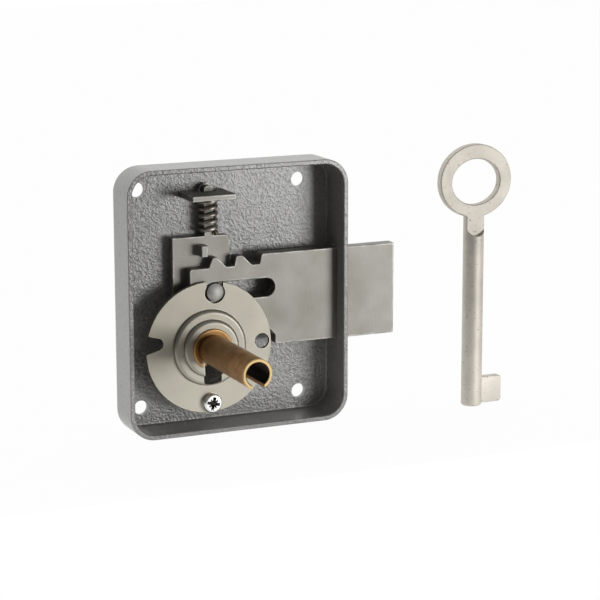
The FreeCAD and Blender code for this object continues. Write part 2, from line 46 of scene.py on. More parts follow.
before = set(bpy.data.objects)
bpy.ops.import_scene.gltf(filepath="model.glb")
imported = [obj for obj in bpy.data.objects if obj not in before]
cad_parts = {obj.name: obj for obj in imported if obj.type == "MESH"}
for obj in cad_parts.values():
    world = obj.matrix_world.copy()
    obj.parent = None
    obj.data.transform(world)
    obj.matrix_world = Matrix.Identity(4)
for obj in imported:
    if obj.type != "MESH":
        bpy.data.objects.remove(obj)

import math

import bmesh
import bpy
from bpy.props import FloatProperty, FloatVectorProperty, PointerProperty
from mathutils import Matrix, Vector

CAD_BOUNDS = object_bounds()
MM = 0.001
WHITE = (1, 1, 1, 1)
# The rays with which a material rounds its edges, and finds the edges that are rubbed.
ROUNDING_RAYS = 4
RUBBING_RAYS = 8
# A Mix node has an input A and B for each kind of value, so the colour ones go by number.
MIX_SHARE, MIX_FIRST, MIX_SECOND, MIX_RESULT = 0, 6, 7, 2


def linear(code):
    """Turn an sRGB hex value such as #8A8C8B into a linear colour with alpha."""
    channels = [int(code[i:i + 2], 16) / 255 for i in (1, 3, 5)]
    return tuple(
        c / 12.92 if c <= 0.04045 else ((c + 0.055) / 1.055) ** 2.4 for c in channels) + (1.0,)


def per_mm(size_mm):
    """The texture scale at which a pattern repeats about every size_mm on the object."""
    return 1 / (size_mm * MM)


def colour(code, text):
    """A colour setting whose default is an sRGB hex value."""
    return FloatVectorProperty(
        name=text, description=text, subtype="COLOR", size=4, min=0, max=1, default=linear(code))


def length(millimetres, text):
    """A length setting in metres whose default is written in millimetres."""
    return FloatProperty(
        name=text, description=text, unit="LENGTH", precision=6, default=millimetres * MM)


def share(value, text):
    """A setting between 0 and 1."""
    return FloatProperty(
        name=text, description=text, subtype="FACTOR", min=0, max=1, default=value)


def add_node(tree, kind, settings=None):
    """Add a node. A setting is a property or an input, given a value or a socket to link."""
    node = tree.nodes.new(kind)
    for key, value in (settings or {}).items():
        if isinstance(key, str) and hasattr(node, key):
            setattr(node, key, value)
        elif isinstance(value, bpy.types.NodeSocket):
            tree.links.new(value, node.inputs[key])
        else:
            node.inputs[key].default_value = value
    return node


def new_material(name):
    """An empty material with its tree and the node that gives its place in metres."""
    material = bpy.data.materials.new(name)
    material.use_nodes = True
    tree = material.node_tree
    tree.nodes.clear()
    place = add_node(tree, "ShaderNodeTexCoord")
    return material, tree, place


def dress(material, *nodes):
    """Give these CAD nodes the material."""
    for node in nodes:
        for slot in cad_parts[node].material_slots:
            slot.material = material


def varied(tree, pattern, tone, darkest, lightest, low=0.3, high=0.7):
    """A colour made darker and lighter as a pattern goes from its low to its high value."""
    level = add_node(tree, "ShaderNodeMapRange", {
        "Value": pattern, "From Min": low, "From Max": high,
        "To Min": darkest, "To Max": lightest})
    shaded = add_node(tree, "ShaderNodeVectorMath", {
        "operation": "MULTIPLY", 0: tone, 1: level.outputs[0]})
    return shaded.outputs[0]


def patched(tree, pattern, ground, patch, none_at, all_at):
    """A ground colour that turns to the patch's as a pattern goes from none_at to all_at."""
    cover = add_node(tree, "ShaderNodeMapRange", {
        "Value": pattern, "From Min": none_at, "From Max": all_at})
    mixed = add_node(tree, "ShaderNodeMix", {
        "data_type": "RGBA", MIX_SHARE: cover.outputs[0], MIX_FIRST: ground, MIX_SECOND: patch})
    return mixed.outputs[MIX_RESULT]


def rubbed(tree, place, face, worn, width):
    """A face's colour that turns to the worn one on its edges, most of all where it was knocked."""
    # Near an edge the rounded direction of the surface turns away from its real one.
    on_face, on_edge = 0.998, 0.92
    rounded = add_node(tree, "ShaderNodeBevel", {"samples": RUBBING_RAYS, "Radius": width})
    real = add_node(tree, "ShaderNodeNewGeometry")
    turn = add_node(tree, "ShaderNodeVectorMath", {
        "operation": "DOT_PRODUCT", 0: rounded.outputs[0], 1: real.outputs["Normal"]})
    near = add_node(tree, "ShaderNodeMapRange", {
        "Value": turn.outputs["Value"], "From Min": on_face, "From Max": on_edge})
    knock_mm = 3.5
    knocks = add_node(tree, "ShaderNodeTexNoise", {
        "Vector": place.outputs["Object"], "Scale": per_mm(knock_mm), "Detail": 2.0})
    missed, hit, least_wear = 0.38, 0.6, 0.15
    hits = add_node(tree, "ShaderNodeMapRange", {
        "Value": knocks.outputs["Fac"], "From Min": missed, "From Max": hit,
        "To Min": least_wear, "To Max": 1.0})
    wear = add_node(tree, "ShaderNodeMath", {
        "operation": "MULTIPLY", 0: near.outputs[0], 1: hits.outputs[0]})
    mixed = add_node(tree, "ShaderNodeMix", {
        "data_type": "RGBA", MIX_SHARE: wear.outputs[0], MIX_FIRST: face, MIX_SECOND: worn})
    return mixed.outputs[MIX_RESULT]


def rounded_relief(tree, pattern, strength, depth_mm, edge_mm, sunk=False):
    """The direction of a surface with rounded edges and a pattern that stands out or is sunk."""
    edge = add_node(tree, "ShaderNodeBevel", {"samples": ROUNDING_RAYS, "Radius": edge_mm * MM})
    bump = add_node(tree, "ShaderNodeBump", {
        "Height": pattern, "Strength": strength, "Distance": depth_mm * MM, "invert": sunk,
        "Normal": edge.outputs[0]})
    return bump.outputs[0]


def from_axis(tree, place, axis_x=0, axis_z=0):
    """How far a point is from a line along Y, which is the tube's axis unless told otherwise."""
    offset = add_node(tree, "ShaderNodeVectorMath", {
        "operation": "SUBTRACT", 0: place.outputs["Object"], 1: (axis_x, 0, axis_z)})
    across = add_node(tree, "ShaderNodeVectorMath", {
        "operation": "MULTIPLY", 0: offset.outputs[0], 1: (1, 0, 1)})
    reach = add_node(tree, "ShaderNodeVectorMath", {"operation": "LENGTH", 0: across.outputs[0]})
    return reach.outputs["Value"]


class EnamelLook(bpy.types.PropertyGroup):
    """The case's hammertone enamel."""

    crest: colour("#9E9D9A", "Colour of the enamel's crests")
    vein: colour("#7D7D7B", "Colour of the veins between the crests")
    dimple_size: length(0.95, "Width of one hammer dimple")
    dimple_depth: length(0.11, "Depth of the dimples")
    wall_share: share(0.3, "Depth of the dimples on the drawn walls")
    roughness: share(0.40, "Roughness of the enamel")


class SteelLook(bpy.types.PropertyGroup):
    """The blanked and barrel-ground steel of the works."""

    light: colour("#93918C", "Colour of the clean steel")
    stain: colour("#827F77", "Colour of the stained steel")
    rivet: colour("#CCCBC7", "Colour of the stud, the post and the stump")
    worn: colour("#DEDDD8", "Colour of the steel where its edges are rubbed bright")
    wear_width: length(0.8, "Width of the rubbed edges")
    grain_width: length(0.22, "Width of one grinding mark")
    grain_length: length(5.0, "Length of one grinding mark")
    roughness: share(0.46, "Roughness of the steel")


class SpringLook(bpy.types.PropertyGroup):
    """The tumbler's compression spring."""

    wire: length(1.28, "Thickness of the wire")
    mean_radius: length(2.2, "Radius of the coils, to the middle of the wire")
    pitch: length(1.94, "Rise of one open coil")
    closed_turns: FloatProperty(
        name="Closed turns", description="Turns laid close at each end", default=0.7)
    light: colour("#BDB8B0", "Colour of the bright wire")
    tint: colour("#8C7C6F", "Colour of the oil film on the wire")


class NickelLook(bpy.types.PropertyGroup):
    """The disc's satin nickel plating and the key's tumbled nickel plating."""

    disc: colour("#A5A195", "Colour of the disc's plating")
    disc_edge: colour("#D2CDC0", "Colour of the disc's rubbed edges")
    edge_width: length(0.35, "Width of the disc's rubbed edges")
    key: colour("#DBD6CC", "Colour of the key's plating")
    key_pit: colour("#8C8072", "Colour in the key's pits")
    pit_size: length(0.9, "Distance between the key's pits")
    roughness: share(0.42, "Roughness of the disc's plating")
    key_roughness: share(0.64, "Roughness of the key's plating")


class BrassLook(bpy.types.PropertyGroup):
    """The drawn brass tube and its collar."""

    tarnish: colour("#C09868", "Colour of the tube's light tarnish")
    patch: colour("#A67C55", "Colour of the tube's red-brown patches")
    patch_size: length(5.0, "Width of one patch of tarnish")
    bare: colour("#B8905F", "Colour of the collar")
    rim_width: length(0.35, "Width of the collar's bright rim")
    cut: colour("#DDC08A", "Colour of the tube's freshly cut end")
    # The bore's colour is painted shade inside the tube.
    bore_shade: colour("#3A2C1C", "Colour of the dirt inside the tube")
    streak_width: length(0.5, "Width of one drawing streak")
    roughness: share(0.45, "Roughness of the tube")


class ScrewLook(bpy.types.PropertyGroup):
    """The zinc-plated screw."""

    plate: colour("#EDEDE9", "Colour of the zinc plating")
    # The recess colour is painted shade in the screw's cross, and the radius bounds that painted
    # shade.
    recess_shade: colour("#2B2A28", "Colour of the grease in the recess")
    recess_radius: length(1.8, "Radius of the greasy recess")
    roughness: share(0.3, "Roughness of the plating")


class StudioLook(bpy.types.PropertyGroup):
    """The paper floor, the room round it and its one lamp."""

    floor: colour("#F4F4F2", "Colour of the paper floor")
    paper_front: length(50.0, "How far the paper reaches before the lock")
    left_level: share(0.08, "Brightness of the room before the lock, at its left")
    right_level: share(0.2, "Brightness of the room before the lock, at its right")
    top_level: share(0.12, "What the ceiling adds to the front of the room")
    key_power: FloatProperty(
        name="Key lamp", description="Power of the lamp at the right", unit="POWER", default=1.75)


class CABINETLOCK_OT_case(bpy.types.Operator):
    """Finish the drawn case in hammertone enamel"""

    bl_idname = "cabinet_lock.case"
    bl_label = "Case"

    def execute(self, context):
        look = context.scene.cabinet_lock_enamel
        # Hammertone enamel on steel: aluminium flake gathers on rounded crests and leaves
        # darker veins, so the eye sees small soft dimples that glint one by one.
        material, tree, place = new_material("hammertone_enamel_on_steel")
        dimple_mm = look.dimple_size / MM
        fold_mm, flake_mm = 1.5 * dimple_mm, 0.5 * dimple_mm
        # The crests run where a soft noise passes its middle value, and the flake lies over them.
        middle, crest_half, flake_height = 0.5, 0.22, 1.2
        folds = add_node(tree, "ShaderNodeTexNoise", {
            "Vector": place.outputs["Object"], "Scale": per_mm(fold_mm), "Detail": 1.2,
            "Distortion": 0.25})
        from_middle = add_node(tree, "ShaderNodeMath", {
            "operation": "SUBTRACT", 0: folds.outputs["Fac"], 1: middle})
        fold_line = add_node(tree, "ShaderNodeMath", {
            "operation": "ABSOLUTE", 0: from_middle.outputs[0]})
        worm = add_node(tree, "ShaderNodeMapRange", {
            "Value": fold_line.outputs[0], "From Min": 0.0, "From Max": crest_half,
            "To Min": 1.0, "To Max": 0.0})
        flake = add_node(tree, "ShaderNodeTexNoise", {
            "Vector": place.outputs["Object"], "Scale": per_mm(flake_mm), "Detail": 2.0})
        relief = add_node(tree, "ShaderNodeMath", {
            "operation": "MULTIPLY_ADD", 0: flake.outputs["Fac"], 1: flake_height,
            2: worm.outputs[0]})
        # The dimples are shallower on the drawn walls, whose direction has little of Y in it.
        wall, back = 0.7, 0.98
        facing = add_node(tree, "ShaderNodeSeparateXYZ", {"Vector": place.outputs["Normal"]})
        flat = add_node(tree, "ShaderNodeMath", {"operation": "ABSOLUTE", 0: facing.outputs["Y"]})
        pulled = add_node(tree, "ShaderNodeMapRange", {
            "Value": flat.outputs[0], "From Min": wall, "From Max": back,
            "To Min": look.wall_share, "To Max": 1.0})
        height = add_node(tree, "ShaderNodeMath", {
            "operation": "MULTIPLY", 0: relief.outputs[0], 1: pulled.outputs[0]})
        crest = add_node(tree, "ShaderNodeMapRange", {
            "Value": relief.outputs[0], "From Min": 0.2, "From Max": 1.5,
            "To Min": 0.15, "To Max": 0.85})
        tone = add_node(tree, "ShaderNodeMix", {
            "data_type": "RGBA", MIX_SHARE: crest.outputs[0], MIX_FIRST: look.vein,
            MIX_SECOND: look.crest})
        bump = add_node(tree, "ShaderNodeBump", {
            "Height": height.outputs[0], "Strength": 0.8, "Distance": look.dimple_depth})
        shader = add_node(tree, "ShaderNodeBsdfPrincipled", {
            "Base Color": tone.outputs[MIX_RESULT], "Metallic": 0.35, "Roughness": look.roughness,
            "Coat Weight": 0.5, "Coat Roughness": 0.2, "Normal": bump.outputs[0]})
        add_node(tree, "ShaderNodeOutputMaterial", {"Surface": shader.outputs[0]})
        dress(material, "case")
        return {"FINISHED"}


def ground_steel(look, name, tone, marks_mm, roughness):
    """Steel that was blanked and barrel-ground, with marks this wide along X, Y and Z."""
    # Real marks are finer. They are drawn as wide as they need to be to show in the render.
    material, tree, place = new_material(name)
    along = add_node(tree, "ShaderNodeMapping", {
        "Vector": place.outputs["Object"], "Scale": [per_mm(width) for width in marks_mm]})
    marks = add_node(tree, "ShaderNodeTexNoise", {
        "Vector": along.outputs[0], "Scale": 1.0, "Detail": 3.0})
    stain_mm = 9.0
    stains = add_node(tree, "ShaderNodeTexNoise", {
        "Vector": place.outputs["Object"], "Scale": per_mm(stain_mm), "Detail": 3.0,
        "Roughness": 0.5})
    stained = patched(tree, stains.outputs["Fac"], tone, look.stain, none_at=0.3, all_at=0.75)
    streaked = varied(tree, marks.outputs["Fac"], stained, darkest=0.88, lightest=1.08)
    # The blanks tumble against each other, so their edges are rubbed brighter than their faces.
    worn = rubbed(tree, place, streaked, look.worn, look.wear_width)
    smoother, rougher = 0.07, 0.1
    gloss = add_node(tree, "ShaderNodeMapRange", {
        "Value": marks.outputs["Fac"], "To Min": roughness - smoother,
        "To Max": roughness + rougher})
    surface = rounded_relief(
        tree, marks.outputs["Fac"], strength=0.5, depth_mm=0.012, edge_mm=0.25)
    shader = add_node(tree, "ShaderNodeBsdfPrincipled", {
        "Base Color": worn, "Metallic": 1.0, "Roughness": gloss.outputs[0], "Normal": surface})
    add_node(tree, "ShaderNodeOutputMaterial", {"Surface": shader.outputs[0]})
    return material


class CABINETLOCK_OT_bolt(bpy.types.Operator):
    """Finish the bolt in ground steel with upright marks"""

    bl_idname = "cabinet_lock.bolt"
    bl_label = "Bolt"

    def execute(self, context):
        look = context.scene.cabinet_lock_steel
        width_mm, run_mm = look.grain_width / MM, look.grain_length / MM
        # Mild steel, blanked and belt-ground across its length: upright lines and a dull sheen.
        marks_mm = (width_mm, width_mm, run_mm)
        material = ground_steel(
            look, "belt_ground_mild_steel", look.light, marks_mm, look.roughness)
        dress(material, "bolt")
        return {"FINISHED"}


class CABINETLOCK_OT_tumbler(bpy.types.Operator):
    """Finish the tumbler and the spring's shelf in barrelled steel"""

    bl_idname = "cabinet_lock.tumbler"
    bl_label = "Tumbler and shelf"

    def execute(self, context):
        look = context.scene.cabinet_lock_steel
        width_mm, run_mm = look.grain_width / MM, look.grain_length / MM
        # Cold-rolled steel, blanked and barrelled: faint lines along the strip, shorter and
        # wider than grinding leaves.
        marks_mm = (0.4 * run_mm, width_mm, 1.5 * width_mm)
        material = ground_steel(
            look, "cold_rolled_steel_barrelled", look.light, marks_mm, look.roughness)
        dress(material, "tumbler", "spring_bracket")
        return {"FINISHED"}


class CABINETLOCK_OT_rivets(bpy.types.Operator):
    """Finish the guide stud, the screw post and the tumbler's stump in turned steel"""

    bl_idname = "cabinet_lock.rivets"
    bl_label = "Stud, post and stump"

    def execute(self, context):
        look = context.scene.cabinet_lock_steel
        # Turned steel, barrelled after turning: an even grain with a dull, speckled dome.
        marks_mm = (0.5, 0.5, 0.5)
        rougher = 0.12
        material = ground_steel(
            look, "turned_steel_barrelled", look.rivet, marks_mm, look.roughness + rougher)
        dress(material, "guide_stud", "screw_post", "tumbler_stump")
        return {"FINISHED"}


class CABINETLOCK_OT_spring(bpy.types.Operator):
    """Wind the tumbler's spring from oiled wire"""

    bl_idname = "cabinet_lock.spring"
    bl_label = "Spring"

    def execute(self, context):
        look = context.scene.cabinet_lock_spring
        low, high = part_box("tumbler_spring")
        stud_low, stud_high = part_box("guide_stud")
        plate_low, plate_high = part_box("tumbler")
        # The spring stands in line with the stud, in the middle of the tumbler's thickness.
        axis_x = (stud_low.x + stud_high.x) / 2
        axis_y = (plate_low.y + plate_high.y) / 2
        spring = wind_spring(look, axis_x, axis_y, low.z, high.z)
        # Oil-hardened spring wire: silvery where it rubs, brown where the oil film stays.
        material, tree, place = new_material("oil_hardened_spring_wire")
        film_mm = 1.4
        film = add_node(tree, "ShaderNodeTexNoise", {
            "Vector": place.outputs["Object"], "Scale": per_mm(film_mm), "Detail": 3.0})
        base = patched(
            tree, film.outputs["Fac"], look.light, look.tint, none_at=0.42, all_at=0.66)
        shader = add_node(tree, "ShaderNodeBsdfPrincipled", {
            "Base Color": base, "Metallic": 1.0, "Roughness": 0.4})
        add_node(tree, "ShaderNodeOutputMaterial", {"Surface": shader.outputs[0]})
        spring.data.materials.append(material)
        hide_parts("tumbler_spring")
        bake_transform(spring)
        return {"FINISHED"}


def wind_spring(look, axis_x, axis_y, low_z, high_z):
    """A compression spring with its ends wound close, as one tube about an upright axis."""
    steps_per_turn = 40
    sides = 14
    wires_per_close_turn = 1.06
    # The wire's two cut ends are dressed, so they are a little thinner.
    dressed_end = 0.86
    close_rise = wires_per_close_turn * look.wire
    open_height = high_z - low_z - look.wire - 2 * look.closed_turns * close_rise
    turns = open_height / look.pitch + 2 * look.closed_turns
    open_end = turns - look.closed_turns
    # The wire comes round to the front, which is -Y, most of a turn after it starts.
    front = math.radians(-90)
    first_front_turn = 0.9
    start_angle = front - first_front_turn * 2 * math.pi

    def centre(turn):
        rise = low_z + look.wire / 2 + close_rise * min(turn, look.closed_turns)
        rise += look.pitch * max(0, min(turn, open_end) - look.closed_turns)
        rise += close_rise * max(0, turn - open_end)
        angle = start_angle + turn * 2 * math.pi
        x = axis_x + look.mean_radius * math.cos(angle)
        y = axis_y + look.mean_radius * math.sin(angle)
        return Vector((x, y, rise))

    mesh = bmesh.new()
    count = round(turns * steps_per_turn)
    nearby = 0.02
    rings = []
    for step in range(count + 1):
        turn = turns * step / count
        here = centre(turn)
        way = (centre(turn + nearby) - centre(turn - nearby)).normalized()
        outward = Vector((here.x - axis_x, here.y - axis_y, 0)).normalized()
        across = way.cross(outward).normalized()
        inset = 1.0 if 0 < step < count else dressed_end
        ring = []
        for side in range(sides):
            angle = 2 * math.pi * side / sides
            around = outward * math.cos(angle) + across * math.sin(angle)
            ring.append(mesh.verts.new(here + around * look.wire / 2 * inset))
        rings.append(ring)
    for ring, following in zip(rings, rings[1:]):
        for side in range(sides):
            beside = (side + 1) % sides
            mesh.faces.new((ring[side], ring[beside], following[beside], following[side]))
    mesh.faces.new(reversed(rings[0]))
    mesh.faces.new(rings[-1])
    bmesh.ops.recalc_face_normals(mesh, faces=mesh.faces)
    data = bpy.data.meshes.new("tumbler_spring_wire")
    mesh.to_mesh(data)
    mesh.free()
    data.shade_smooth()
    spring = bpy.data.objects.new("tumbler_spring_wire", data)
    bpy.context.scene.collection.objects.link(spring)
    return spring


class CABINETLOCK_OT_disc(bpy.types.Operator):
    """Finish the disc in satin nickel"""

    bl_idname = "cabinet_lock.disc"
    bl_label = "Disc"

    def execute(self, context):
        look = context.scene.cabinet_lock_nickel
        # Pressed steel, satin nickel plated: warm and even, with faint cloudy patches and rubbed
        # edges. The satin's own grain is too fine to show, so it is drawn a third of a mm wide.
        material, tree, place = new_material("satin_nickel_plated_steel")
        cloud_mm, satin_mm = 9.0, 0.35
        clouds = add_node(tree, "ShaderNodeTexNoise", {
            "Vector": place.outputs["Object"], "Scale": per_mm(cloud_mm), "Detail": 3.0})
        face = varied(tree, clouds.outputs["Fac"], look.disc[:3], darkest=0.92, lightest=1.03)
        base = rubbed(tree, place, face, look.disc_edge, look.edge_width)
        satin = add_node(tree, "ShaderNodeTexNoise", {
            "Vector": place.outputs["Object"], "Scale": per_mm(satin_mm), "Detail": 2.0})
        smoother, rougher = 0.04, 0.1
        gloss = add_node(tree, "ShaderNodeMapRange", {
            "Value": satin.outputs["Fac"], "To Min": look.roughness - smoother,
            "To Max": look.roughness + rougher})
        surface = rounded_relief(
            tree, satin.outputs["Fac"], strength=0.3, depth_mm=0.01, edge_mm=0.1)
        shader = add_node(tree, "ShaderNodeBsdfPrincipled", {
            "Base Color": base, "Metallic": 1.0, "Roughness": gloss.outputs[0],
            "Normal": surface})
        add_node(tree, "ShaderNodeOutputMaterial", {"Surface": shader.outputs[0]})
        dress(material, "key_guide_disc")
        return {"FINISHED"}


class CABINETLOCK_OT_key_tube(bpy.types.Operator):
    """Finish the key's tube and its collar in brass"""

    bl_idname = "cabinet_lock.key_tube"
    bl_label = "Key tube and collar"

    def execute(self, context):
        look = context.scene.cabinet_lock_brass
        dress(drawn_brass(look), "key_tube")
        dress(turned_brass(look), "tube_collar")
        return {"FINISHED"}


def drawn_brass(look):
    """Brass tube, drawn and left to tarnish, with a bright cut end and painted shade in the bore.
    """
    # Drawn brass: brown tarnish in streaks along the tube, and a pale ring where it was sawn off.
    # Real drawing streaks are finer. They are drawn as wide as they need to be to show.
    material, tree, place = new_material("drawn_brass_tarnished")
    width_mm = look.streak_width / MM
    run_mm = 14 * width_mm
    along = add_node(tree, "ShaderNodeMapping", {
        "Vector": place.outputs["Object"],
        "Scale": [per_mm(width) for width in (width_mm, run_mm, width_mm)]})
    streaks = add_node(tree, "ShaderNodeTexNoise", {
        "Vector": along.outputs[0], "Scale": 1.0, "Detail": 3.0})
    patches = add_node(tree, "ShaderNodeTexNoise", {
        "Vector": place.outputs["Object"], "Scale": per_mm(look.patch_size / MM), "Detail": 4.0,
        "Roughness": 0.6})
    tarnish = patched(
        tree, patches.outputs["Fac"], look.tarnish, look.patch, none_at=0.4, all_at=0.62)
    body = varied(tree, streaks.outputs["Fac"], tarnish, darkest=0.9, lightest=1.08)
    # The cut is bright at the tube's end and fades along its outside.
    end_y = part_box("key_tube")[0].y
    bright_mm, faded_mm = 0.12, 0.3
    split = add_node(tree, "ShaderNodeSeparateXYZ", {"Vector": place.outputs["Object"]})
    sawn = patched(
        tree, split.outputs["Y"], body, look.cut,
        none_at=end_y + faded_mm * MM, all_at=end_y + bright_mm * MM)
    # Painted shade fills the bore and ends a little way into the tube's wall.
    shade_full_mm, shade_none_mm = 3.35, 3.6
    with_painted_shade = patched(
        tree, from_axis(tree, place), sawn, look.bore_shade,
        none_at=shade_none_mm * MM, all_at=shade_full_mm * MM)
    surface = rounded_relief(
        tree, streaks.outputs["Fac"], strength=0.4, depth_mm=0.02, edge_mm=0.1)
    shader = add_node(tree, "ShaderNodeBsdfPrincipled", {
        "Base Color": with_painted_shade, "Metallic": 1.0, "Roughness": look.roughness, "Normal": surface})
    add_node(tree, "ShaderNodeOutputMaterial", {"Surface": shader.outputs[0]})
    return material


def turned_brass(look):
    """Brass collar, turned, with painted shade towards the tube and a bright rim."""
    # Turned brass: an orange yellow with soft clouds. Painted shade darkens the collar towards the
    # corner between the collar and the tube, which leaves the rim bright.
    material, tree, place = new_material("turned_brass")
    cloud_mm, fade_mm = 2.0, 0.5
    clouds = add_node(tree, "ShaderNodeTexNoise", {
        "Vector": place.outputs["Object"], "Scale": per_mm(cloud_mm), "Detail": 3.0})
    base = varied(
        tree, clouds.outputs["Fac"], look.bare[:3], darkest=0.75, lightest=1.15, low=0, high=1)
    low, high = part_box("tube_collar")
    rim_starts = (high.x - low.x) / 2 - look.rim_width
    # Painted shade: darker towards the tube, up to where the rim starts.
    with_painted_shade = varied(
        tree, from_axis(tree, place), base, darkest=0.5, lightest=1.0,
        low=rim_starts - fade_mm * MM, high=rim_starts)
    shader = add_node(tree, "ShaderNodeBsdfPrincipled", {
        "Base Color": with_painted_shade, "Metallic": 1.0, "Roughness": 0.4})
    add_node(tree, "ShaderNodeOutputMaterial", {"Surface": shader.outputs[0]})
    return material


class CABINETLOCK_OT_disc_screw(bpy.types.Operator):
    """Finish the disc's screw in bright zinc"""

    bl_idname = "cabinet_lock.disc_screw"
    bl_label = "Disc screw"

    def execute(self, context):
        look = context.scene.cabinet_lock_screw
        # Zinc-plated steel: bright, with a grain from the plating barrel and painted shade in the
        # cross.
        # The real grain is finer and is drawn as coarse as it needs to be to show.
        material, tree, place = new_material("bright_zinc_plated_steel")
        grain_mm = 0.4
        grain = add_node(tree, "ShaderNodeTexNoise", {
            "Vector": place.outputs["Object"], "Scale": per_mm(grain_mm), "Detail": 3.0})
        plating = varied(
            tree, grain.outputs["Fac"], look.plate[:3], darkest=0.9, lightest=1.05, low=0, high=1)
        low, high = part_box("disc_screw")
        reach = from_axis(tree, place, (low.x + high.x) / 2, (low.z + high.z) / 2)
        # Painted shade darkens the cross recess, within this radius and below the head's top.
        inside = add_node(tree, "ShaderNodeMath", {
            "operation": "LESS_THAN", 0: reach, 1: look.recess_radius})
        shallow_mm, deep_mm = 0.15, 0.7
        split = add_node(tree, "ShaderNodeSeparateXYZ", {"Vector": place.outputs["Object"]})
        sunk = add_node(tree, "ShaderNodeMapRange", {
            "Value": split.outputs["Y"], "From Min": low.y + shallow_mm * MM,
            "From Max": low.y + deep_mm * MM})
        painted_recess_shade = add_node(tree, "ShaderNodeMath", {
            "operation": "MULTIPLY", 0: inside.outputs[0], 1: sunk.outputs[0]})
        base = add_node(tree, "ShaderNodeMix", {
            "data_type": "RGBA", MIX_SHARE: painted_recess_shade.outputs[0], MIX_FIRST: plating,
            MIX_SECOND: look.recess_shade})
        edge_mm = 0.08
        edge = add_node(tree, "ShaderNodeBevel", {
            "samples": ROUNDING_RAYS, "Radius": edge_mm * MM})
        shader = add_node(tree, "ShaderNodeBsdfPrincipled", {
            "Base Color": base.outputs[MIX_RESULT], "Metallic": 1.0, "Roughness": look.roughness,
            "Normal": edge.outputs[0]})
        add_node(tree, "ShaderNodeOutputMaterial", {"Surface": shader.outputs[0]})
        dress(material, "disc_screw")
        return {"FINISHED"}


class CABINETLOCK_OT_key(bpy.types.Operator):
    """Finish the key in tumbled nickel"""

    bl_idname = "cabinet_lock.key"
    bl_label = "Key"

    def execute(self, context):
        look = context.scene.cabinet_lock_nickel
        # Cast steel, tumbled and nickel plated: bright and warm, with the casting's small pits
        # left in.
        material, tree, place = new_material("tumbled_nickel_on_cast_steel")
        cloud_mm = 6.0
        pits = add_node(tree, "ShaderNodeTexNoise", {
            "Vector": place.outputs["Object"], "Scale": per_mm(look.pit_size / MM),
            "Detail": 4.0, "Roughness": 0.65})
        clouds = add_node(tree, "ShaderNodeTexNoise", {
            "Vector": place.outputs["Object"], "Scale": per_mm(cloud_mm), "Detail": 2.0})
        plating = varied(tree, clouds.outputs["Fac"], look.key[:3], darkest=0.9, lightest=1.04)
        base = patched(
            tree, pits.outputs["Fac"], plating, look.key_pit, none_at=0.6, all_at=0.74)
        surface = rounded_relief(
            tree, pits.outputs["Fac"], strength=0.5, depth_mm=0.03, edge_mm=0.2, sunk=True)
        shader = add_node(tree, "ShaderNodeBsdfPrincipled", {
            "Base Color": base, "Metallic": 1.0, "Roughness": look.key_roughness,
            "Normal": surface})
        add_node(tree, "ShaderNodeOutputMaterial", {"Surface": shader.outputs[0]})
        dress(material, "key")
        return {"FINISHED"}


class CABINETLOCK_OT_studio(bpy.types.Operator):
    """Set the floor, the room, the lamp and the camera"""

    bl_idname = "cabinet_lock.studio"
    bl_label = "Studio"

    def execute(self, context):
        look = context.scene.cabinet_lock_studio
        lay_floor(look)
        light_room(look)
        hang_lamp(look)
        place_camera()
        context.scene.view_settings.view_transform = "Standard"
        return {"FINISHED"}


def lay_floor(look):
    """A wide sheet of paper under and behind the lock, white but for the lock's shadow."""
    side = back = 1.5
    front = -look.paper_front
    depth = CAD_BOUNDS[0][2]
    data = bpy.data.meshes.new("paper_floor")
    corners = [
        (-side, front, depth), (side, front, depth), (side, back, depth), (-side, back, depth)]
    data.from_pydata(corners, [], [(0, 1, 2, 3)])
    floor = bpy.data.objects.new("paper_floor", data)
    bpy.context.scene.collection.objects.link(floor)
    # Matt white paper: it bounces light up as paper does. The camera and the metal see it nearly
    # as plain white, with a trace of the paper left for the shadow.
    white_share = 0.97
    material, tree, _ = new_material("matt_white_paper")
    paper = add_node(tree, "ShaderNodeBsdfDiffuse", {"Color": look.floor})
    white = add_node(tree, "ShaderNodeEmission", {"Color": WHITE, "Strength": 1.0})
    rays = add_node(tree, "ShaderNodeLightPath")
    mirrored = add_node(tree, "ShaderNodeMath", {
        "operation": "MAXIMUM", 0: rays.outputs["Is Camera Ray"],
        1: rays.outputs["Is Glossy Ray"]})
    seen = add_node(tree, "ShaderNodeMath", {
        "operation": "MAXIMUM", 0: mirrored.outputs[0], 1: rays.outputs["Is Transmission Ray"]})
    blend = add_node(tree, "ShaderNodeMath", {
        "operation": "MULTIPLY", 0: seen.outputs[0], 1: white_share})
    shader = add_node(tree, "ShaderNodeMixShader", {
        0: blend.outputs[0], 1: paper.outputs[0], 2: white.outputs[0]})
    add_node(tree, "ShaderNodeOutputMaterial", {"Surface": shader.outputs[0]})
    data.materials.append(material)


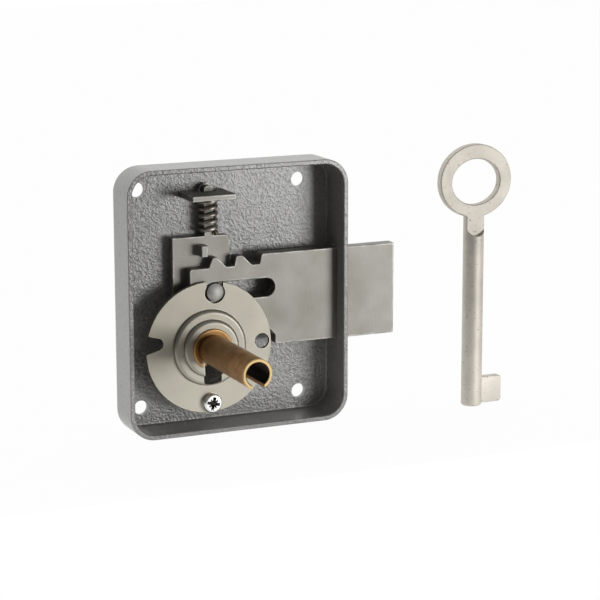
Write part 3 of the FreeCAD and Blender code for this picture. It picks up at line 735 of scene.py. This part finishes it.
def light_room(look):
    """A room that is white behind the lock and dim before it, most of all at the left."""
    world = bpy.data.worlds.new("white_room")
    world.use_nodes = True
    tree = world.node_tree
    tree.nodes.clear()
    place = add_node(tree, "ShaderNodeTexCoord")
    way = add_node(tree, "ShaderNodeSeparateXYZ", {"Vector": place.outputs["Generated"]})
    # The room's brightness changes between these parts of a direction, which has a length of 1.
    left, right = -0.7, 0.7
    low, high = 0.1, 0.8
    before, behind = -0.25, 0.1
    side = add_node(tree, "ShaderNodeMapRange", {
        "Value": way.outputs["X"], "From Min": left, "From Max": right,
        "To Min": look.left_level, "To Max": look.right_level})
    ceiling = add_node(tree, "ShaderNodeMapRange", {
        "Value": way.outputs["Z"], "From Min": low, "From Max": high,
        "To Min": 0.0, "To Max": look.top_level})
    front = add_node(tree, "ShaderNodeMath", {
        "operation": "ADD", 0: side.outputs[0], 1: ceiling.outputs[0]})
    turn = add_node(tree, "ShaderNodeMapRange", {
        "Value": way.outputs["Y"], "From Min": before, "From Max": behind})
    level = add_node(tree, "ShaderNodeMix", {
        "data_type": "FLOAT", "Factor": turn.outputs[0], "A": front.outputs[0], "B": 1.0})
    # The camera sees white all round. Metal mirrors the white behind the lock and the dim front.
    rays = add_node(tree, "ShaderNodeLightPath")
    strength = add_node(tree, "ShaderNodeMath", {
        "operation": "MAXIMUM", 0: rays.outputs["Is Camera Ray"], 1: level.outputs[0]})
    sky = add_node(tree, "ShaderNodeBackground", {
        "Color": WHITE, "Strength": strength.outputs[0]})
    add_node(tree, "ShaderNodeOutputWorld", {"Surface": sky.outputs[0]})
    bpy.context.scene.world = world


def hang_lamp(look):
    """A soft lamp, wider than high, that stands before the lock at its right and faces it."""
    data = bpy.data.lights.new("key_lamp", "AREA")
    data.energy = look.key_power
    data.shape = "RECTANGLE"
    data.size = 0.3
    data.size_y = 0.2
    lamp = bpy.data.objects.new("key_lamp", data)
    lamp.location = (0.37, -0.55, 0.01)
    target = Vector((0.02, 0, 0.01))
    lamp.rotation_euler = (target - lamp.location).to_track_quat("-Z", "Y").to_euler()
    bpy.context.scene.collection.objects.link(lamp)


def place_camera():
    """The camera, at the place and turn that a fit of the lock's edges gave."""
    location = (-0.217766, -0.552122, 0.139857)
    yaw, pitch, roll = math.radians(23.831), math.radians(-11.982), math.radians(-0.108)
    forward = Vector((
        math.sin(yaw) * math.cos(pitch), math.cos(yaw) * math.cos(pitch), math.sin(pitch)))
    level_right = Vector((math.cos(yaw), -math.sin(yaw), 0))
    level_up = level_right.cross(forward)
    right = level_right * math.cos(roll) + level_up * math.sin(roll)
    up = level_up * math.cos(roll) - level_right * math.sin(roll)
    data = bpy.data.cameras.new("camera")
    data.sensor_width = 36.0
    data.lens = 132.275
    camera = bpy.data.objects.new("camera", data)
    turn = Matrix((right, up, -forward)).transposed().to_4x4()
    camera.matrix_world = Matrix.Translation(location) @ turn
    bpy.context.scene.collection.objects.link(camera)
    bpy.context.scene.camera = camera


class CABINETLOCK_PT_pieces(bpy.types.Panel):
    """Lists the lock's pieces and their settings"""

    bl_label = "Cabinet Lock"
    bl_idname = "CABINETLOCK_PT_pieces"
    bl_space_type = "VIEW_3D"
    bl_region_type = "UI"
    bl_category = "Cabinet Lock"

    def draw(self, context):
        for operator in PIECES:
            self.layout.operator(operator.bl_idname)
        for name, group in LOOKS.items():
            box = self.layout.box()
            box.label(text=group.__doc__)
            for key in group.__annotations__:
                box.prop(getattr(context.scene, name), key)


LOOKS = {
    "cabinet_lock_enamel": EnamelLook,
    "cabinet_lock_steel": SteelLook,
    "cabinet_lock_spring": SpringLook,
    "cabinet_lock_nickel": NickelLook,
    "cabinet_lock_brass": BrassLook,
    "cabinet_lock_screw": ScrewLook,
    "cabinet_lock_studio": StudioLook,
}
PIECES = (
    CABINETLOCK_OT_case,
    CABINETLOCK_OT_bolt,
    CABINETLOCK_OT_tumbler,
    CABINETLOCK_OT_rivets,
    CABINETLOCK_OT_spring,
    CABINETLOCK_OT_disc,
    CABINETLOCK_OT_key_tube,
    CABINETLOCK_OT_disc_screw,
    CABINETLOCK_OT_key,
    CABINETLOCK_OT_studio,
)


def register():
    """Register the settings, the operators and the panel."""
    for name, group in LOOKS.items():
        bpy.utils.register_class(group)
        setattr(bpy.types.Scene, name, PointerProperty(type=group))
    for operator in PIECES:
        bpy.utils.register_class(operator)
    bpy.utils.register_class(CABINETLOCK_PT_pieces)


def unregister():
    """Take them out again."""
    bpy.utils.unregister_class(CABINETLOCK_PT_pieces)
    for operator in reversed(PIECES):
        bpy.utils.unregister_class(operator)
    for name, group in LOOKS.items():
        delattr(bpy.types.Scene, name)
        bpy.utils.unregister_class(group)


def main():
    """Build the looks piece by piece."""
    register()
    for operator in PIECES:
        group, name = operator.bl_idname.split(".")
        getattr(getattr(bpy.ops, group), name)()


if __name__ == "__main__":
    main()
